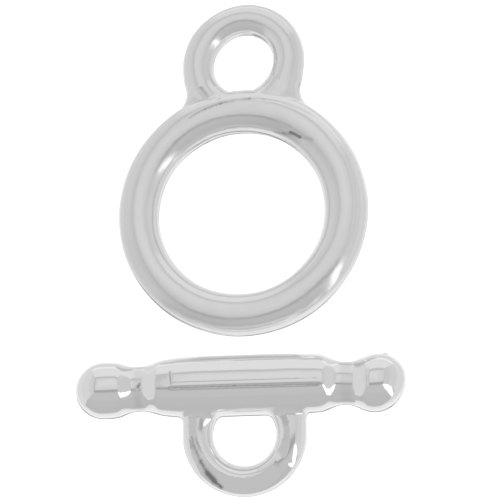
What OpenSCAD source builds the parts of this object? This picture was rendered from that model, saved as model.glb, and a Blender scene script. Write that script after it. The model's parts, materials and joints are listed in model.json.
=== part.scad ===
// Toggle clasp for a necklace or bracelet: a round ring with an eye, and a T-bar with a loop.
// The two castings are loose. They lie side by side on a surface, the ring above the bar.
// Millimetres. The surface is at z = 0, and the origin is under the middle of the whole.

/* [Ring] */
// Outer diameter of the ring
ring_d = 12; // [9:0.5:18]
// Thickness of the ring's round wire
ring_wire = 2; // [1.6:0.1:2.6]

/* [Eye of the ring] */
// Diameter of the eye's hole, where a jump ring goes in
eye_hole_d = 2.9; // [2:0.1:3.6]
// Thickness of the eye's round wire
eye_wire = 1.55; // [1.2:0.05:1.9]
// Depth of the flat band that the hole cuts in the eye's wire
eye_land = 0.05; // [0.03:0.01:0.12]
// How deep the eye's hole cuts into the ring's outer edge
eye_bite = 0.07; // [0.03:0.01:0.2]
// Radius of the hollow corner on each side, between eye and ring
web_r = 1.2; // [0.6:0.1:2]
// Thickness of the rounded web that fills each corner
web_wire = 1; // [0.6:0.05:1.2]

/* [Bar] */
// Length of the bar from end to end
bar_l = 15.8; // [13:0.2:24]
// Diameter at the middle of the barrel, where it is thickest
barrel_d = 2.91; // [2.5:0.05:3.4]
// Length of the barrel between its two shoulders
barrel_l = 7.8; // [6.6:0.2:8.4]
// How much thinner the barrel is at its shoulders than at its middle
barrel_crown = 0.18; // [0.05:0.01:0.3]
// Diameter of each neck, at its thinnest
neck_d = 2.1; // [1.6:0.05:2.4]
// Radius of the hollow of each neck, seen from the side
neck_r = 1.9; // [1.2:0.1:2.5]
// Diameter of the bead on each end
bead_d = 2.68; // [2.5:0.02:3.2]

/* [Loop of the bar] */
// Diameter of the loop's hole, where a jump ring goes in
loop_hole_d = 3; // [2.2:0.1:3.6]
// Thickness of the loop's round wire
loop_wire = 1.46; // [1.1:0.02:1.8]
// Distance from the bar's axis to the middle of the loop
loop_reach = 2.24; // [1.9:0.02:2.8]
// How far the loop sits off the middle of the bar
loop_offset = 0.1; // [0:0.05:0.4]
// Thickness of the straight legs that join the loop to the barrel
leg_wire = 1.32; // [0.9:0.02:1.4]

/* [Layout] */
// Gap between the ring and the barrel as they lie, seen from above
bar_gap = 1.07; // [0.5:0.01:3]

/* [Hidden] */
$fn = 96;
SILVER = [0.80, 0.80, 0.81];
// How deep a web is sunk in the wires that it joins, and a leg in the loop's outer edge
SINK = 0.03;
LEG_SINK = 0.01;
// How far a cut runs past the face that it opens
PAST = 1;

// Ring and eye: centre lines of the wires, and the place of the eye
ring_r = ring_d / 2;
ring_mid_r = ring_r - ring_wire / 2;
eye_mid_r = eye_hole_d / 2 + eye_wire / 2 - eye_land;
eye_r = eye_mid_r + eye_wire / 2;
eye_y = ring_r + eye_hole_d / 2 - eye_bite;
ring_z = ring_wire / 2;

// Web: the hollow corner's centre is web_r away from the ring's edge and from the eye's edge
web_to_ring = ring_r + web_r - SINK;
web_to_eye = eye_r + web_r - SINK;
web_y = (web_to_ring^2 + eye_y^2 - web_to_eye^2) / (2 * eye_y);
web_x = sqrt(web_to_ring^2 - web_y^2);
web_mid_r = web_r + web_wire / 2;
web_eye_angle = atan2(eye_y - web_y, -web_x);
web_ring_angle = 360 + atan2(-web_y, -web_x);

// Bar: radii, and the places of the necks and beads along it
barrel_r = barrel_d / 2;
shoulder_r = barrel_r - barrel_crown / 2;
crown_r = ((barrel_l / 2)^2 + (barrel_crown / 2)^2) / barrel_crown;
neck_rise = shoulder_r - neck_d / 2;
neck_half_l = sqrt(neck_r^2 - (neck_r - neck_rise)^2);
neck_x = barrel_l / 2 + neck_half_l;
bead_r = bead_d / 2;
bead_x = bar_l / 2 - bead_r;

// Loop: its centre line, and the roll that lets the loop's far end touch the surface
loop_mid_r = loop_hole_d / 2 + loop_wire / 2;
loop_end = loop_reach + loop_mid_r;
bar_roll = asin((barrel_r - loop_wire / 2) / loop_end);
leg_x = loop_mid_r + loop_wire / 2 - LEG_SINK - leg_wire / 2;

// Layout: the ring's centre and the bar's axis, so that the whole is centred on the origin
bar_drop = ring_r + bar_gap + barrel_r;
top_reach = eye_y + eye_r;
low_reach = bar_drop + loop_end * cos(bar_roll) + loop_wire / 2;
ring_y = (low_reach - top_reach) / 2;
bar_y = ring_y - bar_drop;

// A round wire bent to a circle in the XY plane
module wire_circle(mid_r, wire) {
    rotate_extrude()
        translate([mid_r, 0])
            circle(d = wire);
}

// One web: a bent stretch of round wire whose hollow side rounds the corner between eye and ring
module eye_web() {
    translate([web_x, web_y, 0])
        rotate([0, 0, web_eye_angle])
            rotate_extrude(angle = web_ring_angle - web_eye_angle)
                translate([web_mid_r, 0])
                    circle(d = web_wire);
}

// Ring and eye, one casting, about the ring's centre
module ring_casting() {
    difference() {
        union() {
            wire_circle(ring_mid_r, ring_wire);
            translate([0, eye_y, 0])
                wire_circle(eye_mid_r, eye_wire);
            eye_web();
            mirror([1, 0, 0])
                eye_web();
        }
        translate([0, eye_y, -ring_wire / 2 - PAST])
            cylinder(d = eye_hole_d, h = ring_wire + 2 * PAST);
    }
}

// Half of the bar's outline, from its middle to one end: radius along X, length along Y
module bar_outline() {
    difference() {
        union() {
            intersection() {
                translate([barrel_r - crown_r, 0])
                    circle(r = crown_r, $fn = 720);
                square([barrel_r, neck_x]);
            }
            translate([0, neck_x])
                square([bead_r, bead_x - neck_x]);
            intersection() {
                translate([0, bead_x])
                    circle(r = bead_r);
                translate([0, neck_x])
                    square([bead_r, bar_l]);
            }
        }
        translate([neck_d / 2 + neck_r, neck_x])
            circle(r = neck_r);
    }
}

// Barrel, necks and beads, turned about the bar's axis along X
module bar_shaft() {
    for (side = [0, 1])
        mirror([side, 0, 0])
            rotate([0, 90, 0])
                rotate_extrude()
                    bar_outline();
}

// Loop with its two straight legs, in the XY plane, below the bar's axis
module bar_loop() {
    translate([loop_offset, -loop_reach, 0]) {
        wire_circle(loop_mid_r, loop_wire);
        for (side = [-1, 1])
            translate([side * leg_x, 0, 0])
                rotate([-90, 0, 0])
                    cylinder(d = leg_wire, h = loop_reach);
    }
}

module toggle_ring() {
    color(SILVER)
        translate([0, ring_y, ring_z])
            ring_casting();
}

module toggle_bar() {
    color(SILVER)
        translate([0, bar_y, barrel_r])
            rotate([bar_roll, 0, 0])
                union() {
                    bar_shaft();
                    bar_loop();
                }
}

toggle_ring();
toggle_bar();
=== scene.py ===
"""A cast, silver-plated toggle clasp: a ring with an eye and a T-bar with a loop, in a small light tent.

Sizes are in metres in the panel and in millimetres inside the shape functions.
"""
import json
import math

import bpy
import numpy as np
from bpy.props import FloatProperty, FloatVectorProperty, PointerProperty
from bpy.types import Operator, Panel, PropertyGroup
from mathutils import Matrix, Vector


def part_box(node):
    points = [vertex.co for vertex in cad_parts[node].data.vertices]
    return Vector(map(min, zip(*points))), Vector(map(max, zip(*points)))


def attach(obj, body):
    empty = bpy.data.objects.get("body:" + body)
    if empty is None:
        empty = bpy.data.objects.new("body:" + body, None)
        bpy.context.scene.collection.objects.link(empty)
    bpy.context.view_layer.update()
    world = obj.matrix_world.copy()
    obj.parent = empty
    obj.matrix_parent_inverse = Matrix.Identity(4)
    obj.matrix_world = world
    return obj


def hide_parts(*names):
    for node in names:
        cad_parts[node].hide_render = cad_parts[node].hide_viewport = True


bl_info = {
    "name": "Toggle Clasp",
    "version": (1, 0, 0),
    "blender": (4, 5, 0),
    "location": "3D View > Sidebar > Clasp",
    "description": "Makes a cast, silver-plated toggle clasp in a light tent",
    "category": "Add Mesh",
}

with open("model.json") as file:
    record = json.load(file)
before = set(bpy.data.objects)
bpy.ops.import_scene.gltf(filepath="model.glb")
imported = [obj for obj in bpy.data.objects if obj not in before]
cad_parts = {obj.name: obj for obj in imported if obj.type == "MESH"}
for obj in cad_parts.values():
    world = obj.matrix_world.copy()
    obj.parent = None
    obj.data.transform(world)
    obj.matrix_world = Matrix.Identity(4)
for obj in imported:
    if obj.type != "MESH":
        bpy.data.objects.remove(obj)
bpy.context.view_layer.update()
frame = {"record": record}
MM = 0.001

# Where the frame puts the two castings
RING_LOW, RING_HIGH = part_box("toggle_ring")
BAR_LOW, BAR_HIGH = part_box("toggle_bar")
MOUNTS = {mount["name"]: mount for mount in frame["record"]["mounts"]}
RING_EYE = MOUNTS["ring_eye"]
BAR_EYE = MOUNTS["bar_eye"]


def from_frame(length):
    """A length of the frame in metres, free of the small error of its meshed curves."""
    return round(length, 5)


RING_OUTER_R = from_frame((RING_HIGH.x - RING_LOW.x) / 2)
RING_WIRE = from_frame(RING_HIGH.z - RING_LOW.z)
RING_Y = from_frame(RING_LOW.y + RING_OUTER_R)
EYE_OUTER_R = from_frame(RING_HIGH.y - RING_EYE["pos_m"][1])
BARREL_D = from_frame(BAR_HIGH.z - BAR_LOW.z)
BAR_ROLL = math.atan2(-BAR_EYE["axis"][1], BAR_EYE["axis"][2])
LOOP_REACH = from_frame((BARREL_D / 2 - BAR_EYE["pos_m"][2]) / math.sin(BAR_ROLL))

# Colour of the silver plate
PLATE = (0.965, 0.965, 0.968)


class ClaspRing(PropertyGroup):
    """Sizes of the ring and its eye."""

    wire: FloatProperty(
        name="Ring Wire", description="Thickness of the ring's wire",
        default=RING_WIRE, min=0.0005, unit="LENGTH")
    uneven: FloatProperty(
        name="Uneven Wire", description="How much thicker than its mean the wire is on one side, as a share",
        default=0.034, min=0, max=0.1, subtype="FACTOR")
    eye_wire: FloatProperty(
        name="Eye Wire", description="Thickness of the eye's wire",
        default=0.0015, min=0.0005, unit="LENGTH")
    web_radius: FloatProperty(
        name="Corner Radius", description="Radius of the hollow corner between eye and ring",
        default=0.0012, min=0.0002, unit="LENGTH")
    web_wire: FloatProperty(
        name="Corner Web", description="Thickness of the web that fills each corner",
        default=0.001, min=0.0002, unit="LENGTH")
    flat_top: FloatProperty(
        name="Flat Top", description="How much flatter than round the wire is at the ring's top and bottom",
        default=0.5, min=0, max=1.5)
    blend: FloatProperty(
        name="Fillet", description="How softly eye, webs and ring run into each other",
        default=0.00014, min=0.00002, unit="LENGTH")


class ClaspBar(PropertyGroup):
    """Sizes of the barrel, its necks and beads, and the loop."""

    barrel: FloatProperty(
        name="Barrel", description="Diameter at the middle of the barrel. The necks grow with it",
        default=BARREL_D, min=0.001, unit="LENGTH")
    bead: FloatProperty(
        name="End Beads", description="Diameter of the bead on each end",
        default=0.00269, min=0.0005, unit="LENGTH")
    loop_wire: FloatProperty(
        name="Loop Wire", description="Thickness of the loop's wire",
        default=0.00146, min=0.0004, unit="LENGTH")
    loop_mid_radius: FloatProperty(
        name="Loop Radius", description="Radius of the middle line of the loop's wire",
        default=0.00223, min=0.0005, unit="LENGTH")
    blend: FloatProperty(
        name="Fillet", description="How softly the loop runs into the barrel",
        default=0.00022, min=0.00002, unit="LENGTH")


class ClaspFinish(PropertyGroup):
    """The silver plate and how it was polished."""

    plate: FloatVectorProperty(
        name="Plate", description="Colour of the silver plate",
        default=PLATE, size=3, min=0, max=1, subtype="COLOR")
    # Colour of stains and pits, which also paints shade on the ring's slopes and in the bar's necks
    stain_and_shade: FloatVectorProperty(
        name="Stain", description="Colour of tarnish and of polish left in the pits",
        default=(0.32, 0.31, 0.30), size=3, min=0, max=1, subtype="COLOR")
    roughness: FloatProperty(
        name="Roughness", description="Roughness of the polished bar",
        default=0.085, min=0, max=1, subtype="FACTOR")
    ring_roughness: FloatProperty(
        name="Ring Roughness", description="Roughness of the ring, which is a little less polished",
        default=0.165, min=0, max=1, subtype="FACTOR")
    dull: FloatProperty(
        name="Dull Corners", description="Roughness added in corners and necks that the wheel did not reach",
        default=0.22, min=0, max=1, subtype="FACTOR")
    ring_cell: FloatProperty(
        name="Ring Mesh Cell", description="Size of the cells that the ring is meshed with",
        default=0.00006, min=0.00002, unit="LENGTH")
    bar_cell: FloatProperty(
        name="Bar Mesh Cell", description="Size of the cells that the bar is meshed with",
        default=0.00005, min=0.00002, unit="LENGTH")


class ClaspStage(PropertyGroup):
    """The light tent, the floor and the camera."""

    height: FloatProperty(
        name="Tent Height", description="Height of the tent's ceiling above the floor",
        default=0.3, min=0.1, unit="LENGTH")
    camera_distance: FloatProperty(
        name="Camera Distance", description="Distance of the camera from the ring",
        default=0.25, min=0.05, unit="LENGTH")
    camera_lean: FloatProperty(
        name="Camera Lean", description="How far the camera leans from straight above",
        default=math.radians(17.41), subtype="ANGLE")
    camera_azimuth: FloatProperty(
        name="Camera Azimuth", description="Direction in which the camera leans",
        default=math.radians(-57.3), subtype="ANGLE")
    camera_roll: FloatProperty(
        name="Camera Roll", description="Turn of the camera about its own axis",
        default=math.radians(0.38), subtype="ANGLE")
    view_width: FloatProperty(
        name="View Width", description="Width that the camera sees at its distance",
        default=0.023886, min=0.005, unit="LENGTH")
    floor_glow: FloatProperty(
        name="Floor Glow", description="Light that comes through the floor, as from a light table",
        default=0.84, min=0, max=2)


GROUPS = {
    "clasp_ring": ClaspRing,
    "clasp_bar": ClaspBar,
    "clasp_finish": ClaspFinish,
    "clasp_stage": ClaspStage,
}


# Shapes as fields: each gives the distance to a surface, below zero inside the metal, in millimetres

def smooth_union(a, b, blend):
    """Joins two fields with a fillet about as wide as blend."""
    near = np.maximum(blend - np.abs(a - b), 0) / blend
    return np.minimum(a, b) - near * near * blend / 4


def bent_tube(x, y, z, centre, mid_radius, start, end, radius):
    """A tube bent round a centre from one angle to another, with round ends."""
    angle = np.arctan2(y - centre[1], x - centre[0])
    middle = (start + end) / 2
    half = (end - start) / 2
    off = (angle - middle + np.pi) % (2 * np.pi) - np.pi
    nearest = np.clip(off, -half, half) + middle
    dx = x - centre[0] - mid_radius * np.cos(nearest)
    dy = y - centre[1] - mid_radius * np.sin(nearest)
    return np.sqrt(dx * dx + dy * dy + z * z) - radius


def from_line(points, start, end):
    """Distance of each point from a straight line between two places."""
    offset = points - np.array(start, float)
    line = np.array(end, float) - np.array(start, float)
    share = np.clip(offset @ line / max(line @ line, 1e-12), 0, 1)
    return np.linalg.norm(offset - share[:, None] * line, axis=1)


def ball(x, y, z, centre, radius):
    return np.sqrt((x - centre[0]) ** 2 + (y - centre[1]) ** 2 + (z - centre[2]) ** 2) - radius


def through_stations(at, stations):
    """A smooth curve through stations, each with its place, its value and its slope."""
    places = np.array([station[0] for station in stations])
    after = np.clip(np.searchsorted(places, at), 1, len(stations) - 1)
    table = np.array(stations)
    x0, y0, m0 = table[after - 1].T
    x1, y1, m1 = table[after].T
    span = x1 - x0
    t = np.clip((at - x0) / span, 0, 1)
    return ((2 * t ** 3 - 3 * t ** 2 + 1) * y0 + (t ** 3 - 2 * t ** 2 + t) * span * m0
            + (3 * t ** 2 - 2 * t ** 3) * y1 + (t ** 3 - t ** 2) * span * m1)


def ripple(points, height, wave, seed, count=7):
    """Soft unevenness left by hand polishing: a few long waves in random directions."""
    random = np.random.default_rng(seed)
    total = np.zeros(len(points))
    for _ in range(count):
        direction = random.normal(size=3)
        direction /= np.linalg.norm(direction)
        length = wave * random.uniform(0.6, 1.6)
        total += np.sin(points @ direction * (2 * np.pi / length) + random.uniform(0, 2 * np.pi))
    return total * height / math.sqrt(count)


class Marked:
    """A shape with small dents, ridges and stains, and the soft waves of hand polishing.

    Each of its MARKS is a line from a place to a place, with its width, its depth (below zero for a
    ridge) and how dark it is. Each of its WAVES is a height, a wave length and a seed.
    """

    MARKS = ()
    WAVES = ()
    # A mark is left out where it is farther away than this many of its widths
    MARK_REACH = 3
    # Height, wave length and seed of what makes a stain ragged, and the least and most that it leaves
    RAGGED = (0.18, 0.16, 3)
    RAGGED_LIMITS = (0.3, 1.6)

    def spread(self, points, at):
        """The sum over all marks of their depths, or of their stains."""
        total = np.zeros(len(points))
        for start, end, width, *amounts in self.MARKS:
            centre = (np.array(start) + np.array(end)) / 2
            reach = np.linalg.norm(np.array(end) - np.array(start)) / 2 + self.MARK_REACH * width
            near = np.flatnonzero(((points - centre) ** 2).sum(1) < reach * reach)
            if len(near) and amounts[at]:
                away = from_line(points[near], start, end) / width
                total[near] += amounts[at] * np.exp(-away * away)
        return total

    def relief(self, points):
        return self.spread(points, 0)

    def waves(self, points):
        return sum(ripple(points, *wave) for wave in self.WAVES)

    def stain_and_shade(self, points):
        """Darkness from 0 to 1, with ragged edges."""
        ragged = 1 + ripple(points, *self.RAGGED)
        return np.clip(self.spread(points, 1) * np.clip(ragged, *self.RAGGED_LIMITS), 0, 1)


class RingShape(Marked):
    """The ring casting: ring, eye, two webs and the low fill between them."""

    # Distances are in millimetres here and in the bar's shape
    MARKS = (
        # Dark scratches at the top right of the ring's opening
        ((1.70, 5.49, 1.63), (2.40, 5.23, 1.75), 0.07, 0.020, 0.55),
        ((2.05, 5.40, 1.72), (2.55, 5.28, 1.84), 0.06, 0.000, 0.60),
        ((2.46, 5.33, 1.86), (2.90, 5.08, 1.89), 0.08, 0.035, 1.00),
        ((1.55, 5.87, 1.88), (2.32, 5.54, 1.91), 0.04, 0.008, 0.35),
        ((2.90, 5.08, 1.89), (3.50, 4.87, 2.00), 0.07, 0.010, 0.30),
        # A nib and a pit on the right of the eye, and pits on its lower left
        ((1.90, 8.17, 1.75), (1.93, 8.20, 1.75), 0.05, -0.020, 0.00),
        ((1.84, 8.11, 1.75), (1.86, 8.08, 1.75), 0.04, 0.015, 0.20),
        ((-1.92, 7.69, 1.74), (-1.66, 7.33, 1.76), 0.10, 0.050, 0.45),
        ((-1.50, 7.18, 1.80), (-1.42, 7.14, 1.83), 0.04, 0.030, 0.30),
        ((-1.25, 7.16, 1.85), (-1.20, 7.12, 1.86), 0.04, -0.020, 0.00),
        ((-1.05, 7.08, 1.88), (-0.98, 7.12, 1.88), 0.04, 0.025, 0.25),
        # A stain at the top of the eye's hole
        ((0.00, 10.50, 1.05), (0.60, 10.46, 1.10), 0.14, 0.010, 0.30),
        ((0.60, 10.46, 1.10), (1.20, 10.12, 1.15), 0.14, 0.010, 0.35),
        ((1.20, 10.12, 1.15), (1.50, 9.70, 1.20), 0.12, 0.010, 0.25),
        # Ridges on the eye's two sides, and strokes of a file at its lower right
        ((-2.86, 8.55, 1.15), (-2.55, 7.45, 1.20), 0.05, -0.040, 0.00),
        ((2.83, 8.05, 1.15), (2.60, 7.20, 1.20), 0.05, -0.040, 0.00),
        ((2.21, 7.27, 1.55), (2.78, 8.00, 1.18), 0.05, 0.014, 0.00),
        ((2.32, 7.20, 1.50), (2.86, 7.90, 1.14), 0.04, -0.010, 0.00),
        ((2.10, 7.40, 1.62), (2.62, 8.10, 1.35), 0.04, 0.012, 0.00),
        # Darker along the crease between ring and eye
        ((-2.42, 6.22, 1.97), (-1.70, 6.60, 1.96), 0.05, 0.000, 0.30),
        ((-1.70, 6.60, 1.96), (-0.92, 6.86, 1.95), 0.05, 0.006, 0.45),
        ((-0.92, 6.86, 1.95), (0.47, 7.03, 1.93), 0.05, 0.008, 0.55),
        ((0.47, 7.03, 1.93), (1.22, 6.965, 1.905), 0.05, 0.000, 0.22),
        ((1.22, 6.965, 1.905), (1.875, 6.82, 1.88), 0.05, 0.000, 0.15),
        ((1.875, 6.82, 1.88), (2.60, 6.56, 1.85), 0.05, 0.000, 0.25),
    )
    WAVES = ((0.010, 3.2, 11), (0.0012, 0.5, 12))
    # The side where the ring's wire is thickest, and the eye's long axis and how oval the eye is
    THICK_SIDE = math.radians(30)
    EYE_LONG_AXIS = math.radians(48.5)
    EYE_OVAL = 0.028
    # Fillet where the eye meets the ring, and height and width of the parting line at mid-height
    SEAM = 0.04
    PARTING = (0.02, 0.07)
    # Fine lines round the ring's top: distance from its centre and the change of that in each degree,
    # the middle and half of the arc in degrees, depth and width
    LINES = (
        (5.39, -0.0069, 83.5, 38, 0.035, 0.040),
        (5.57, 0.0, 8, 30, 0.010, 0.035),
    )
    # Degrees over which such a line fades out at its ends
    LINE_FADE = 8
    # Low fill between eye and ring: slope of its top in the middle and at its ends, the degrees from the
    # middle between which it grows steeper, how far it stays inside the webs' outline and outside the
    # eye's hole, how far below the eye's centre it begins and ends, how rounded its rim is, and how
    # softly it runs into the eye
    FILL_SLOPE = (0.22, 1.9)
    FILL_STEEPENS = (14, 34)
    FILL_INSET = (0.22, 0.25)
    FILL_BELOW_EYE = (0.9, 2.5)
    FILL_RIM = 0.3
    FILL_BLEND = 0.22
    # Thin tarnish and painted shade: how dark the tarnish is everywhere, how much darker the painted shade
    # makes it at most, the share of that on the crown of the wire, how much the wire's slope adds, and the
    # side that the shaded slopes face
    TARNISH_AND_SHADE = (0.05, 0.16, 0.30, 2.4)
    SHADED_SIDE = math.radians(225)
    # How dull the corners between eye and ring are, and how far from the corner that reaches
    CORNER_DULL = (0.4, 0.25)
    # A low ridge inside the ring's opening and one inside the eye's: place above mid-height, height, width
    RING_RIDGE = (0.28, 0.015, 0.04)
    EYE_RIDGE = (0.42, 0.014, 0.035)

    def __init__(self, sizes):
        self.centre = np.array([0, RING_Y, RING_WIRE / 2]) / MM
        self.outer = RING_OUTER_R / MM
        self.wire = sizes.wire / MM
        self.uneven = sizes.uneven
        self.eye_y = (RING_EYE["pos_m"][1] - RING_Y) / MM
        self.eye_outer = EYE_OUTER_R / MM
        self.eye_wire = sizes.eye_wire / MM
        self.web_radius = sizes.web_radius / MM
        self.web_wire = sizes.web_wire / MM
        self.flat_top = sizes.flat_top
        self.blend = sizes.blend / MM

    def ring(self, x, y, z):
        """Wire that is round at the sides and flatter where the mould was gated, at top and bottom."""
        angle = np.arctan2(y, x)
        radius = self.wire / 2 * (1 + self.uneven * np.cos(angle - self.THICK_SIDE))
        power = 2 + self.flat_top * np.sin(angle) ** 2
        outward = np.hypot(x, y) - self.outer + self.wire / 2
        rise = np.abs(z + self.wire / 2 - radius) + 1e-9
        wire = ((np.abs(outward) + 1e-9) ** power + rise ** power) ** (1 / power) - radius
        return wire - self.ridge(z, outward, self.RING_RIDGE)

    @staticmethod
    def ridge(z, outward, sizes):
        """Height of a low ridge on the side of a wire that faces the opening."""
        place, height, width = sizes
        return height * np.exp(-((z - place) / width) ** 2) * (outward < 0)

    def lines(self, x, y, z):
        """Depth of the fine lines: one where the eye and its webs begin, and one on the ring's right."""
        angle = np.degrees(np.arctan2(y, x))
        total = 0.0
        for place, drift, middle, half, depth, width in self.LINES:
            off = angle - middle
            reach = np.clip((half - np.abs(off)) / self.LINE_FADE, 0, 1) * (z > 0)
            total = total + depth * reach * np.exp(-((np.hypot(x, y) - place - drift * off) / width) ** 2)
        return total

    def eye(self, x, y, z):
        """The eye's round wire, which runs in a slight oval."""
        angle = np.arctan2(y - self.eye_y, x)
        oval = 1 + self.EYE_OVAL * np.cos(2 * (angle - self.EYE_LONG_AXIS))
        outward = np.hypot(x, y - self.eye_y) - (self.eye_outer - self.eye_wire / 2) * oval
        return np.hypot(outward, z) - self.eye_wire / 2 - self.ridge(z, outward, self.EYE_RIDGE)

    def web_centre(self):
        """Middle of the hollow corner on the right, which touches both the ring and the eye."""
        to_ring = self.outer + self.web_radius
        to_eye = self.eye_outer + self.web_radius
        y = (to_ring ** 2 + self.eye_y ** 2 - to_eye ** 2) / (2 * self.eye_y)
        return math.sqrt(to_ring ** 2 - y ** 2), y

    def fill(self, x, y, z):
        """Low fill that starts at the fine line on the ring's top and slopes down towards the eye."""
        place, drift, middle, half = self.LINES[0][:4]
        off = np.clip(np.degrees(np.arctan2(y, x)) - middle, -half, half)
        rho = np.hypot(x, y)
        start = place + drift * off
        low, high = self.FILL_SLOPE
        begin, end = self.FILL_STEEPENS
        slope = low + (high - low) * np.clip((np.abs(off) - begin) / (end - begin), 0, 1)
        height = np.sqrt((self.wire / 2) ** 2 - (start - self.outer + self.wire / 2) ** 2)
        over = z - height + slope * (rho - start)
        # Its rim keeps clear of the webs' hollow sides and of the eye's hole
        web_x, web_y = self.web_centre()
        from_web, from_hole = self.FILL_INSET
        corner = self.web_radius + from_web - np.hypot(np.abs(x) - web_x, y - web_y)
        hole = self.eye_outer - self.eye_wire + from_hole - np.hypot(x, y - self.eye_y)
        top = -smooth_union(-over, -np.maximum(corner, hole), self.FILL_RIM)
        below_eye = self.eye_y - y
        nearest, farthest = self.FILL_BELOW_EYE
        ends = np.maximum(nearest - below_eye, below_eye - farthest)
        return np.maximum(np.maximum(top, -z), np.maximum(start - rho, ends))

    def web(self, x, y, z, side):
        """A bent stretch of wire whose hollow side rounds the corner between eye and ring."""
        web_x, web_y = self.web_centre()
        web_x *= side
        ends = sorted([
            math.atan2(-web_y, -web_x) % (2 * math.pi),
            math.atan2(self.eye_y - web_y, -web_x) % (2 * math.pi),
        ])
        if ends[1] - ends[0] > math.pi:
            ends = [ends[1] - 2 * math.pi, ends[0]]
        mid = self.web_radius + self.web_wire / 2
        return bent_tube(x, y, z, (web_x, web_y), mid, ends[0], ends[1], self.web_wire / 2)

    def field(self, points):
        """The whole casting, cut off where it rests on the surface."""
        x, y, z = (points - self.centre).T
        total = self.eye(x, y, z)
        for side in (1, -1):
            total = smooth_union(total, self.web(x, y, z, side), self.blend)
        total = smooth_union(total, self.fill(x, y, z), self.FILL_BLEND)
        total = smooth_union(total, self.ring(x, y, z), self.SEAM)
        total += self.lines(x, y, z)
        total -= self.PARTING[0] * np.exp(-(z / self.PARTING[1]) ** 2)
        total += self.relief(points)
        total -= self.waves(points)
        return np.maximum(total, -points[:, 2])

    def stain_and_shade(self, points):
        """Darkness of the marks, a thin even tarnish, and painted shade that is heavier on the slopes that
        face one side.
        """
        x, y, _ = (points - self.centre).T
        everywhere, shade_most, crown_shade, slope_shade = self.TARNISH_AND_SHADE
        # Painted shade: the slopes that face this side are darker
        side = np.cos(np.arctan2(y, x) - self.SHADED_SIDE) ** 3
        outward = np.clip((np.hypot(x, y) - self.outer) / (self.wire / 2) + 1, -1, 1)
        slope = slope_shade * outward * (1 - outward ** 2) * side
        return np.clip(super().stain_and_shade(points) + everywhere + shade_most * np.clip(crown_shade + slope, 0, 1), 0, 1)

    def dull(self, points):
        """Where the wheel did not reach, from 0 to 1: the corners between eye and ring."""
        x, y, z = (points - self.centre).T
        gap = np.abs(self.ring(x, y, z)) + np.abs(self.eye(x, y, z))
        share, width = self.CORNER_DULL
        return share * np.exp(-(gap / width) ** 2)

    def box(self):
        return np.array(RING_LOW) / MM, np.array(RING_HIGH) / MM


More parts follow.
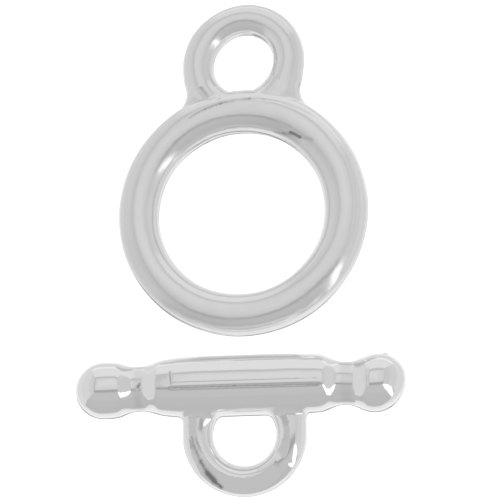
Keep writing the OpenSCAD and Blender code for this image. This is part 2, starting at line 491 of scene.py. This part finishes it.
class BarShape(Marked):
    """The bar casting: barrel, necks, beads and loop."""

    MARKS = (
        # A pit in the left neck, the short line across at the groove's end, and a nib on the right bead
        ((-4.62, -6.86, 2.39), (-4.70, -7.02, 2.36), 0.07, 0.050, 0.80),
        ((-3.10, -6.44, 2.78), (-3.04, -6.98, 2.84), 0.05, 0.040, 0.60),
        ((6.95, -5.63, 1.80), (7.02, -5.61, 1.80), 0.07, -0.130, 0.00),
        # What is left of the gate on the loop's lower right, and pits beside it
        ((2.31, -10.75, 1.35), (2.52, -10.76, 0.90), 0.09, -0.080, 0.00),
        ((2.20, -10.60, 1.42), (2.26, -10.66, 1.40), 0.06, 0.030, 0.30),
        ((2.50, -10.62, 1.22), (2.56, -10.56, 1.18), 0.05, 0.020, 0.40),
        # A faint stroke on the barrel beside the loop's hole, and the dark line along the barrel's top
        ((-0.10, -8.22, 1.99), (1.10, -8.18, 1.99), 0.05, 0.010, 0.15),
        ((-3.05, -7.20, 2.83), (0.00, -7.21, 2.875), 0.07, 0.010, 0.42),
        ((0.00, -7.21, 2.875), (3.90, -7.22, 2.80), 0.07, 0.010, 0.42),
        # The crevice on the loop's left
        ((-2.20, -9.37, 1.74), (-1.98, -10.05, 1.66), 0.05, 0.010, 0.60),
        ((-1.98, -10.05, 1.66), (-1.82, -10.49, 1.55), 0.07, 0.012, 0.70),
        ((-1.82, -10.49, 1.55), (-1.52, -11.04, 1.42), 0.09, 0.012, 1.10),
        ((-1.52, -11.04, 1.42), (-1.22, -11.36, 1.31), 0.12, 0.012, 1.70),
        ((-1.22, -11.40, 1.29), (-0.88, -11.66, 1.16), 0.08, 0.012, 1.10),
    )
    WAVES = ((0.004, 2.6, 5), (0.0006, 0.5, 6))
    # How far the loop lies to the right of its place in the frame, and the whole bar towards the ring
    LOOP_SHIFT = 0.10
    BAR_SHIFT = -0.055
    # Place along the bar, radius and slope of that radius for each half of the bar.
    # SIDE is the outline that is seen from above. TOP is the outline seen from the front: there the
    # shoulders of the barrel are crisp and the necks are deeper. The bead's middle ends each list.
    LEFT_SIDE = (
        (0.00, 1.455, 0.00),
        (2.40, 1.440, -0.03),
        (3.05, 1.405, -0.10),
        (3.62, 1.334, -0.14),
        (4.20, 1.170, -0.32),
        (4.80, 1.069, 0.00),
        (5.16, 1.092, 0.20),
        (5.54, 1.212, 0.38),
        (5.76, 1.288, 0.20),
    )
    RIGHT_SIDE = (
        (0.00, 1.455, 0.00),
        (2.60, 1.437, -0.03),
        (3.20, 1.397, -0.07),
        (3.84, 1.366, -0.12),
        (4.40, 1.175, -0.43),
        (5.00, 1.024, 0.00),
        (5.40, 1.055, 0.26),
        (5.92, 1.263, 0.30),
    )
    LEFT_TOP = (
        (0.00, 1.455, 0.00),
        (2.40, 1.440, -0.03),
        (3.05, 1.405, -0.10),
        (3.76, 1.325, -0.12),
        (3.88, 1.290, -0.50),
        (4.10, 1.165, -0.60),
        (4.36, 1.005, -0.55),
        (4.58, 0.925, -0.05),
        (4.93, 0.915, 0.00),
        (5.05, 0.937, 0.52),
        (5.30, 1.085, 0.64),
        (5.52, 1.228, 0.66),
        (5.64, 1.289, 0.40),
        (5.80, 1.326, 0.12),
    )
    RIGHT_TOP = (
        (0.00, 1.455, 0.00),
        (2.60, 1.437, -0.03),
        (3.30, 1.400, -0.06),
        (4.08, 1.352, -0.07),
        (4.18, 1.315, -0.50),
        (4.30, 1.240, -0.78),
        (4.46, 1.110, -0.85),
        (4.62, 0.990, -0.65),
        (4.80, 0.912, -0.22),
        (5.00, 0.900, 0.00),
        (5.48, 0.920, 0.10),
        (5.60, 0.965, 0.60),
        (5.80, 1.095, 0.66),
        (6.00, 1.225, 0.62),
        (6.12, 1.290, 0.42),
        (6.24, 1.325, 0.20),
    )
    # Distance of each bead's middle from the bar's middle
    LEFT_BEAD = 6.51
    RIGHT_BEAD = 6.42
    # How much larger the right bead's radius is, and the smaller ball that fills its outer corner: its
    # middle, how much smaller it is than a bead, and how softly it runs into the bead
    RIGHT_LARGER = 0.015
    RIGHT_CORNER = (6.79, 0.20, 0)
    CORNER_SMALLER = 0.245
    CORNER_BLEND = 0.25
    # Place along the bar, how far the middle of its section lies towards the ring there, and slope
    BEND = ((-LEFT_BEAD, 0.0, 0.0), (-3.6, 0.055, 0.0), (3.6, 0.055, 0.0), (RIGHT_BEAD, -0.055, 0.0))
    # A fine groove along the barrel's top: its place, its two ends and how they fade, its depth and width
    GROOVE_AT = 0.125
    GROOVE_ENDS = (-3.06, 4.0)
    GROOVE_FADES = (0.05, 0.15)
    GROOVE = (0.012, 0.045)
    # The floor of each neck: its middle and about half its length. It is dull, and painted a little darker
    # as shade.
    NECK_FLOORS = ((-4.75, 0.22), (5.18, 0.30))
    NECK_SHADE = 0.12
    NECK_DULL = 0.3
    # How dull the corners between loop and barrel are, and how far from the corner that reaches
    CORNER_DULL = (0.6, 0.3)
    # The loop's face is worn flat. Degrees from the loop's lowest point, lean to the right and lean
    # towards the ring in degrees, and height above the wire's middle. The ends hold for the two legs.
    FACE = (
        (-90, -10, -5, 0.698),
        (-50, -6, -19, 0.630),
        (0, 0, -20.9, 0.620),
        (48, -8, -20.5, 0.625),
        (60, -16, -8, 0.665),
        (90, -10, -5, 0.710),
    )
    # On the left the worn face ends at a crevice: degrees from the loop's lowest point, distance
    # outside the wire's middle, and the change of that in each degree. Outside it the wire comes back
    # to its round form at the slope that is given.
    CREVICE = (
        (-82, 0.36, 0.0),
        (-56, 0.40, 0.002),
        (-42, 0.53, 0.0107),
        (-34, 0.63, 0.0143),
        (-26, 0.75, 0.012),
    )
    CREVICE_SLOPE = 2.5

    def __init__(self, sizes):
        self.roll = BAR_ROLL
        eye = np.array(BAR_EYE["pos_m"]) / MM
        self.reach = LOOP_REACH / MM
        self.loop_x = eye[0] + self.LOOP_SHIFT
        self.axis_y = eye[1] + self.reach * math.cos(self.roll) + self.BAR_SHIFT
        self.axis_z = BARREL_D / 2 / MM
        self.bead = sizes.bead / 2 / MM
        self.loop_wire = sizes.loop_wire / 2 / MM
        self.loop_mid = sizes.loop_mid_radius / MM
        self.blend = sizes.blend / MM
        self.right_bead = self.bead + self.RIGHT_LARGER
        self.thicker = sizes.barrel / BARREL_D
        self.side = self.stations(self.LEFT_SIDE, self.RIGHT_SIDE)
        self.top = self.stations(self.LEFT_TOP, self.RIGHT_TOP)

    def stations(self, left, right):
        """The two halves of an outline for the barrel's own thickness, each ended by its bead."""
        grown = [[(at, radius * self.thicker, slope * self.thicker) for at, radius, slope in half]
                 for half in (left, right)]
        ends = ((self.LEFT_BEAD, self.bead, 0), (self.RIGHT_BEAD, self.right_bead, 0))
        return [(*half, end) for half, end in zip(grown, ends)]

    def local(self, points):
        """Along the bar, across it towards the ring, and up, in the bar's own rolled plane."""
        dy = points[:, 1] - self.axis_y
        dz = points[:, 2] - self.axis_z
        cos, sin = math.cos(self.roll), math.sin(self.roll)
        return points[:, 0], dy * cos + dz * sin, dz * cos - dy * sin

    def outline(self, along, stations):
        """Radius of the barrel and its necks at a place along the bar."""
        left, right = stations
        return np.where(along < 0, through_stations(-along, left), through_stations(along, right))

    def shaft(self, along, across, up):
        """Barrel and necks, with an oval section where the two outlines differ."""
        side = self.outline(along, self.side)
        top = self.outline(along, self.top)
        across = across - through_stations(along, self.BEND)
        rho = np.hypot(across, up) + 1e-9
        sideways = (across / rho) ** 4
        step = 1e-3
        slope = (self.outline(along + step, self.top) - top) / step
        barrel = (rho - top - (side - top) * sideways) / np.sqrt(1 + slope * slope)
        depth, width = self.GROOVE
        start, end = self.GROOVE_ENDS
        fade_in, fade_out = self.GROOVE_FADES
        reach = np.clip((along - start) / fade_in, 0, 1) * np.clip((end - along) / fade_out, 0, 1)
        return barrel + depth * reach * (up > 0) * np.exp(-((across - self.GROOVE_AT) / width) ** 2)

    def body(self, along, across, up):
        """The shaft, ended by balls. The right one has a smaller ball run into its outer corner."""
        left = ball(along, across, up, (-self.LEFT_BEAD, self.BEND[0][1], 0), self.bead)
        right = ball(along, across, up, (self.RIGHT_BEAD, self.BEND[-1][1], 0), self.right_bead)
        corner = ball(along, across, up, self.RIGHT_CORNER, self.bead - self.CORNER_SMALLER)
        total = self.shaft(along, across, up)
        total = np.where(along < -self.LEFT_BEAD, left, total)
        total = np.where(along > self.RIGHT_BEAD, right, total)
        return smooth_union(total, corner, self.CORNER_BLEND)

    def loop(self, along, across, up):
        """The loop's wire and its two legs, with the worn face cut off them."""
        right = along - self.loop_x
        to_bar = across + self.reach
        angle = np.where(to_bar < 0, np.degrees(np.arctan2(right, -to_bar)), 90 * np.sign(right))
        lean_x, lean_y, rise = [
            through_stations(angle, [(place[0], place[at], 0) for place in self.FACE]) for at in (1, 2, 3)]
        face = np.stack([np.tan(np.radians(lean_x)), np.tan(np.radians(lean_y)), np.ones(len(right))])
        face /= np.linalg.norm(face, axis=0)
        limit = through_stations(angle, self.CREVICE)

        def worn(outward, share_right, share_bar, wire):
            """Cuts the worn face off a stretch of wire, given its outward direction's two shares."""
            cut = outward * (share_right * face[0] + share_bar * face[1]) + up * face[2] - rise
            return np.maximum(wire, cut - self.CREVICE_SLOPE * np.clip(outward - limit, 0, 1))

        rho = np.hypot(right, to_bar) + 1e-9
        outward = rho - self.loop_mid
        round_part = worn(outward, right / rho, to_bar / rho, np.hypot(outward, up) - self.loop_wire)
        beside = np.abs(right) - self.loop_mid
        past = to_bar - np.clip(to_bar, 0, self.reach)
        legs = np.sqrt(beside ** 2 + past ** 2 + up ** 2) - self.loop_wire
        legs = worn(beside, np.sign(right), 0, legs)
        return np.minimum(round_part, legs)

    def field(self, points):
        """The whole casting, cut off where it rests on the surface."""
        along, across, up = self.local(points)
        total = smooth_union(self.body(along, across, up), self.loop(along, across, up), self.blend)
        total += self.relief(points)
        total -= self.waves(points)
        return np.maximum(total, -points[:, 2])

    def necks(self, along):
        """How near a place along the bar is to the floor of a neck, from 0 to 1."""
        return sum(np.exp(-((along - middle) / half) ** 4) for middle, half in self.NECK_FLOORS)

    def stain_and_shade(self, points):
        """Darkness of the marks, and painted shade in the necks."""
        return np.clip(super().stain_and_shade(points) + self.NECK_SHADE * self.necks(points[:, 0]), 0, 1)

    def dull(self, points):
        """Where the wheel did not reach, from 0 to 1: the necks, and the corners of the loop."""
        along, across, up = self.local(points)
        gap = np.abs(self.shaft(along, across, up)) + np.abs(self.loop(along, across, up))
        share, width = self.CORNER_DULL
        corners = share * np.exp(-(gap / width) ** 2)
        return np.clip(self.NECK_DULL * self.necks(along) + corners, 0, 1)

    def box(self):
        return np.array(BAR_LOW) / MM, np.array(BAR_HIGH) / MM


# From field to mesh

CORNERS = [(i, j, k) for i in (0, 1) for j in (0, 1) for k in (0, 1)]
EDGES = [(a, b) for a in range(8) for b in range(a + 1, 8)
         if sum(abs(p - q) for p, q in zip(CORNERS[a], CORNERS[b])) == 1]

# How often each point is drawn onto the surface, and the least steepness of the field that this trusts
DRAWS = 4
LEAST_STEEP = 0.05


def sample(field, axes):
    """The field's values on a grid, worked out one slab at a time."""
    x, y, z = axes
    values = np.empty((len(x), len(y), len(z)), np.float32)
    yy, zz = np.meshgrid(y, z, indexing="ij")
    flat = np.stack([np.zeros(yy.size), yy.ravel(), zz.ravel()], 1)
    for i, at in enumerate(x):
        flat[:, 0] = at
        values[i] = field(flat).reshape(yy.shape)
    return values


def slope_of(field, points, step=2e-3):
    """The field's gradient, by small steps along each axis."""
    result = np.empty_like(points)
    for axis in range(3):
        shift = np.zeros(3)
        shift[axis] = step
        result[:, axis] = (field(points + shift) - field(points - shift)) / (2 * step)
    return result


def surface_net(field, low, high, cell):
    """One point for each grid cell that the surface passes through, and four-sided faces between them."""
    margin = 2.5 * cell
    axes = [np.arange(a - margin, b + margin, cell) for a, b in zip(low, high)]
    values = sample(field, axes)
    corner_values = np.stack([
        values[i:values.shape[0] - 1 + i, j:values.shape[1] - 1 + j, k:values.shape[2] - 1 + k]
        for i, j, k in CORNERS])
    inside = (corner_values < 0).sum(0)
    mixed = (inside > 0) & (inside < 8)
    cells = np.argwhere(mixed)
    index = np.full(mixed.shape, -1, np.int64)
    index[mixed] = np.arange(len(cells))
    at_corner = corner_values[:, mixed]
    total = np.zeros((len(cells), 3))
    count = np.zeros(len(cells))
    for a, b in EDGES:
        va, vb = at_corner[a], at_corner[b]
        cut = (va < 0) != (vb < 0)
        share = va[cut] / (va[cut] - vb[cut])
        start = np.array(CORNERS[a], float)
        step = np.array(CORNERS[b], float) - start
        total[cut] += start + share[:, None] * step
        count[cut] += 1
    origin = np.array([axis[0] for axis in axes])
    points = origin + (cells + total / count[:, None]) * cell
    faces = []
    below = values < 0
    for axis in range(3):
        others = [(axis + 1) % 3, (axis + 2) % 3]
        first = [slice(1, -1)] * 3
        second = [slice(1, -1)] * 3
        first[axis] = slice(0, -1)
        second[axis] = slice(1, None)
        a, b = below[tuple(first)], below[tuple(second)]
        for enters in (True, False):
            where = np.argwhere(a & ~b if enters else b & ~a)
            offset = np.ones(3, int)
            offset[axis] = 0
            where = where + offset
            ring = []
            for du, dv in ((0, 0), (-1, 0), (-1, -1), (0, -1)):
                shifted = where.copy()
                shifted[:, others[0]] += du
                shifted[:, others[1]] += dv
                ring.append(index[tuple(shifted.T)])
            quads = np.stack(ring, 1)
            faces.append(quads if enters else quads[:, ::-1])
    return points, np.concatenate(faces)


def mesh_from_shape(name, shape, cell):
    """Meshes a shape and draws every point exactly onto it, with the shape's own normals."""
    low, high = shape.box()
    points, faces = surface_net(shape.field, low, high, cell)
    if not len(faces):
        raise ValueError(name + " has no surface")
    for _ in range(DRAWS):
        slope = slope_of(shape.field, points)
        steepness = (slope * slope).sum(1)
        move = shape.field(points) / np.maximum(steepness, LEAST_STEEP)
        points -= slope * np.clip(move, -cell, cell)[:, None]
    if not np.isfinite(points).all():
        raise ValueError(name + " has points without a place")
    normals = slope_of(shape.field, points)
    normals /= np.linalg.norm(normals, axis=1)[:, None]
    mesh = bpy.data.meshes.new(name)
    mesh.from_pydata(points * MM, [], faces.tolist())
    mesh.update()
    mesh.polygons.foreach_set("use_smooth", np.ones(len(faces), bool))
    mesh.normals_split_custom_set_from_vertices(normals.tolist())
    for attribute, values in (("stain_and_shade", shape.stain_and_shade(points)), ("dull", shape.dull(points))):
        mesh.attributes.new(attribute, "FLOAT", "POINT").data.foreach_set("value", values)
    piece = bpy.data.objects.new(name, mesh)
    bpy.context.scene.collection.objects.link(piece)
    return piece


# Silver plate

# Least and greatest roughness as shares of the mean one, and the roughness that a full stain adds
HAZE = (0.8, 1.25)
STAIN_ROUGH = 0.3


def node(tree, kind, inputs=None, **settings):
    """A shader node with its settings and the values or links of its inputs."""
    made = tree.nodes.new(kind)
    for key, value in settings.items():
        setattr(made, key, value)
    for key, value in (inputs or {}).items():
        if isinstance(value, bpy.types.NodeSocket):
            tree.links.new(value, made.inputs[key])
        else:
            made.inputs[key].default_value = value
    return made


def silver_plate(finish, roughness):
    """Bright polished plate, duller where the wheel did not reach, and darker where it is stained and where
    shade is painted on.
    """
    material = bpy.data.materials.new("silver plate")
    material.use_nodes = True
    tree = material.node_tree
    tree.nodes.clear()
    place = node(tree, "ShaderNodeTexCoord").outputs["Object"]
    stain_and_shade = node(tree, "ShaderNodeAttribute", attribute_name="stain_and_shade").outputs["Fac"]
    dull = node(tree, "ShaderNodeAttribute", attribute_name="dull").outputs["Fac"]
    haze = node(tree, "ShaderNodeTexNoise", {"Vector": place, "Scale": 900.0, "Detail": 4.0})
    polished = node(tree, "ShaderNodeMapRange", {
        "Value": haze.outputs["Fac"], "From Min": 0.35, "From Max": 0.65,
        "To Min": roughness * HAZE[0], "To Max": roughness * HAZE[1]})
    less = node(tree, "ShaderNodeMath", {0: dull, 1: finish.dull, 2: polished.outputs["Result"]},
                operation="MULTIPLY_ADD")
    rough = node(tree, "ShaderNodeMath", {0: stain_and_shade, 1: STAIN_ROUGH, 2: less.outputs["Value"]},
                 operation="MULTIPLY_ADD", use_clamp=True)
    colour = node(tree, "ShaderNodeMix", {0: stain_and_shade, 6: (*finish.plate, 1), 7: (*finish.stain_and_shade, 1)},
                  data_type="RGBA")
    grain = node(tree, "ShaderNodeTexNoise", {"Vector": place, "Scale": 4200.0, "Detail": 3.0})
    bump = node(tree, "ShaderNodeBump", {
        "Height": grain.outputs["Fac"], "Distance": 0.000003, "Strength": 0.25})
    shader = node(tree, "ShaderNodeBsdfPrincipled", {
        "Base Color": colour.outputs[2], "Metallic": 1.0,
        "Roughness": rough.outputs["Value"], "Normal": bump.outputs["Normal"]})
    node(tree, "ShaderNodeOutputMaterial", {"Surface": shader.outputs["BSDF"]})
    return material


# Ring and bar

class ClaspOperator:
    """What every operator of this file shares."""

    bl_options = {"REGISTER", "UNDO"}


class CLASP_OT_ring(ClaspOperator, Operator):
    """Makes the ring with its eye"""

    bl_idname = "clasp.ring"
    bl_label = "Add Ring"

    def execute(self, context):
        scene = context.scene
        finish = scene.clasp_finish
        piece = mesh_from_shape("ring_plated", RingShape(scene.clasp_ring), finish.ring_cell / MM)
        piece.data.materials.append(silver_plate(finish, finish.ring_roughness))
        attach(piece, "root")
        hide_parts("toggle_ring")
        return {"FINISHED"}


class CLASP_OT_bar(ClaspOperator, Operator):
    """Makes the bar with its beads and loop"""

    bl_idname = "clasp.bar"
    bl_label = "Add Bar"

    def execute(self, context):
        scene = context.scene
        finish = scene.clasp_finish
        piece = mesh_from_shape("bar_plated", BarShape(scene.clasp_bar), finish.bar_cell / MM)
        piece.data.materials.append(silver_plate(finish, finish.roughness))
        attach(piece, "root")
        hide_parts("toggle_bar")
        return {"FINISHED"}


# Light tent

def light_of(tone):
    """Light that a surface sends out so that the plate mirrors it as this tone, from 0 to 255."""
    share = tone / 255
    light = share / 12.92 if share <= 0.04045 else ((share + 0.055) / 1.055) ** 2.4
    return light / PLATE[0]


def glow(name, strength):
    """Material of a lit panel."""
    material = bpy.data.materials.new(name)
    material.use_nodes = True
    tree = material.node_tree
    tree.nodes.clear()
    light = node(tree, "ShaderNodeEmission", {"Color": (1, 1, 1, 1), "Strength": strength})
    node(tree, "ShaderNodeOutputMaterial", {"Surface": light.outputs["Emission"]})
    return material


def sheet_object(name, corners, material):
    """A flat four-cornered stage piece, given by its corners in metres."""
    mesh = bpy.data.meshes.new(name)
    mesh.from_pydata([tuple(c) for c in corners], [], [(0, 1, 2, 3)])
    mesh.materials.append(material)
    piece = bpy.data.objects.new(name, mesh)
    bpy.context.scene.collection.objects.link(piece)
    return piece


def level_sheet(name, x, y, z, material):
    """A level sheet between two x and two y values."""
    return sheet_object(name, [(x[0], y[0], z), (x[1], y[0], z), (x[1], y[1], z), (x[0], y[1], z)], material)


def unseen(piece):
    """Hides a stage piece from the camera, so that it shows only in the metal or lights the floor."""
    piece.visible_camera = False
    piece.visible_shadow = False


# Light that the lamp sends out, where plain white is 1
LAMP_LIGHT = 1.3


def tent(stage):
    """A box of lit walls with a light for its ceiling, and the light table under the floor."""
    # The height of the ceiling, the light table's place under the floor, the walls' places as shares of
    # the height, and the gap that keeps one panel in front of the next
    top = stage.height
    bottom = -0.06
    back, front = top * 1.02, -top * 0.40
    left, right = -top * 0.64, top * 0.87
    gap = 0.001

    def wall(name, a, b, bands):
        """An upright wall between two corners, in bands from the table up to a share of the height."""
        low = bottom
        for share, tone in bands:
            high = share * top
            corners = [(*a, low), (*b, low), (*b, high), (*a, high)]
            unseen(sheet_object(name, corners, glow(name, light_of(tone))))
            low = high

    def ceiling(name, phi, psi, drop, tone):
        """A level panel between two leans towards the back and two towards the right, in degrees."""
        z = top - drop
        y = [z * math.tan(math.radians(a)) for a in phi]
        x = [z * math.tan(math.radians(a)) for a in psi]
        unseen(level_sheet(name, x, y, z, glow(name, light_of(tone))))

    def table(name, x, y, rise, tone):
        """A level panel of the light table, a little above or below the foot of the walls."""
        unseen(level_sheet(name, x, y, bottom + rise, glow(name, light_of(tone))))

    wall("back wall", (left, back), (right, back), ((0, 236), (0.93, 221), (1, 208)))
    wall("front wall", (left, front), (right, front), ((0, 185), (0.3, 187), (1, 191)))
    wall("left wall", (left, front), (left, back), ((0, 218), (0.5, 212), (1, 205)))
    wall("right wall", (right, front), (right, back), ((0, 214), (0.5, 206), (1, 200)))
    ceiling("ceiling", (-22, 46), (-33, 42), 0, 189)
    ceiling("ceiling light", (-10, 38), (-25, 39), gap, 206)
    ceiling("ceiling light inner", (-4, 36), (-19, 30), 2 * gap, 209)
    ceiling("ceiling light middle", (6, 31), (-14, 19), 3 * gap, 214)
    ceiling("camera slit", (-24, -9.7), (-32, 41), 2 * gap, 178)
    ceiling("camera slit middle", (-19, -12.5), (-32, 41), 3 * gap, 163)
    table("table top", (left, right), (front, back), -gap, 214)
    table("table front", (left, right), (front, -0.12), -0.5 * gap, 186)
    table("light table", (-0.12, 0.07), (-0.12, 0.09), 0, 225)
    table("light table inner", (-0.09, 0.05), (-0.08, 0.07), 0.5 * gap, 234)
    table("light table middle", (-0.06, 0.035), (-0.048, 0.045), gap, 243)
    table("shade below", (-0.05, 0.02), (-0.027, 0.002), 1.5 * gap, 165)

    # The lamp shines in where the front wall and the right wall meet. Its outline is given from the
    # bottom up, each time with its two ends, along x in front and along y on the right, and the height
    front_lamp = (
        (0.146, 0.178, -0.058),
        (0.148, 0.190, -0.04),
        (0.150, 0.225, 0.00),
        (0.160, right, 0.05),
        (0.172, right, 0.12),
        (0.200, right, 0.18),
        (0.238, right, 0.297),
    )
    side_lamp = (
        (front, -0.114, 0.04),
        (front, -0.104, 0.10),
        (front, -0.092, 0.16),
        (front, -0.096, 0.22),
        (front, -0.112, 0.297),
    )
    lamp = glow("lamp", LAMP_LIGHT)
    y = front + 2 * gap
    for (start, end, low), (next_start, next_end, high) in zip(front_lamp, front_lamp[1:]):
        corners = [(start, y, low), (end, y, low), (next_end, y, high), (next_start, y, high)]
        unseen(sheet_object("front lamp", corners, lamp))
    x = right - 2 * gap
    for (start, end, low), (next_start, next_end, high) in zip(side_lamp, side_lamp[1:]):
        corners = [(x, start, low), (x, end, low), (x, next_end, high), (x, next_start, high)]
        unseen(sheet_object("side lamp", corners, lamp))


# Colour of the floor, and how far it reaches each way
FLOOR_COLOUR = (0.85, 0.85, 0.85, 1)
FLOOR_REACH = (-0.2, 0.2)

# Where the camera looks: distances in the picture to the right of the ring's middle and below it
AIM_RIGHT = 0.000196
AIM_BELOW = 0.001505


def add_floor(stage):
    """A pale floor that glows a little. The metal looks past it, to the light table."""
    material = bpy.data.materials.new("pale floor")
    material.use_nodes = True
    tree = material.node_tree
    tree.nodes.clear()
    matt = node(tree, "ShaderNodeBsdfDiffuse", {"Color": FLOOR_COLOUR})
    light = node(tree, "ShaderNodeEmission", {"Color": (1, 1, 1, 1), "Strength": stage.floor_glow})
    both = node(tree, "ShaderNodeAddShader", {0: matt.outputs["BSDF"], 1: light.outputs["Emission"]})
    node(tree, "ShaderNodeOutputMaterial", {"Surface": both.outputs["Shader"]})
    floor = level_sheet("floor", FLOOR_REACH, FLOOR_REACH, 0, material)
    floor.visible_glossy = False


def add_world():
    """A plain white world around the tent."""
    world = bpy.data.worlds.new("studio")
    world.use_nodes = True
    background = world.node_tree.nodes["Background"]
    background.inputs["Color"].default_value = (1, 1, 1, 1)
    background.inputs["Strength"].default_value = 1
    bpy.context.scene.world = world


def add_camera(stage):
    """The camera leans towards the lower right, as in the photograph."""
    lean, azimuth, roll = stage.camera_lean, stage.camera_azimuth, stage.camera_roll
    towards = Vector((
        math.sin(lean) * math.cos(azimuth), math.sin(lean) * math.sin(azimuth), math.cos(lean)))
    right = Vector((0, 1, 0)).cross(towards).normalized()
    up = towards.cross(right)
    across = math.cos(roll) * right + math.sin(roll) * up
    upward = math.cos(roll) * up - math.sin(roll) * right
    aim = Vector((0, RING_Y, 0)) + AIM_RIGHT * across - AIM_BELOW * upward
    data = bpy.data.cameras.new("camera")
    data.sensor_width = 36
    data.lens = data.sensor_width * stage.camera_distance / stage.view_width
    data.clip_start = 0.01
    camera = bpy.data.objects.new("camera", data)
    axes = Matrix((across, upward, towards)).transposed()
    camera.matrix_world = Matrix.Translation(aim + stage.camera_distance * towards) @ axes.to_4x4()
    bpy.context.scene.collection.objects.link(camera)
    bpy.context.scene.camera = camera


class CLASP_OT_stage(ClaspOperator, Operator):
    """Sets up the light tent, the floor and the camera"""

    bl_idname = "clasp.stage"
    bl_label = "Add Stage"

    def execute(self, context):
        stage = context.scene.clasp_stage
        add_camera(stage)
        add_floor(stage)
        tent(stage)
        add_world()
        context.scene.view_settings.view_transform = "Standard"
        return {"FINISHED"}


class CLASP_PT_main(Panel):
    """Lists the sizes and the buttons of the clasp"""

    bl_idname = "CLASP_PT_main"
    bl_label = "Toggle Clasp"
    bl_space_type = "VIEW_3D"
    bl_region_type = "UI"
    bl_category = "Clasp"

    def draw(self, context):
        layout = self.layout
        for name, group in GROUPS.items():
            box = layout.box()
            box.label(text=group.__doc__)
            for prop in group.__annotations__:
                box.prop(getattr(context.scene, name), prop)
        for operator in OPERATORS:
            layout.operator(operator.bl_idname)


OPERATORS = (CLASP_OT_stage, CLASP_OT_ring, CLASP_OT_bar)
CLASSES = (*GROUPS.values(), *OPERATORS, CLASP_PT_main)


def register():
    for made in CLASSES:
        bpy.utils.register_class(made)
    for name, group in GROUPS.items():
        setattr(bpy.types.Scene, name, PointerProperty(type=group))


def unregister():
    for name in GROUPS:
        delattr(bpy.types.Scene, name)
    for made in reversed(CLASSES):
        bpy.utils.unregister_class(made)


def main():
    """Builds the clasp and its stage."""
    register()
    bpy.ops.clasp.stage()
    bpy.ops.clasp.ring()
    bpy.ops.clasp.bar()


if __name__ == "__main__":
    main()
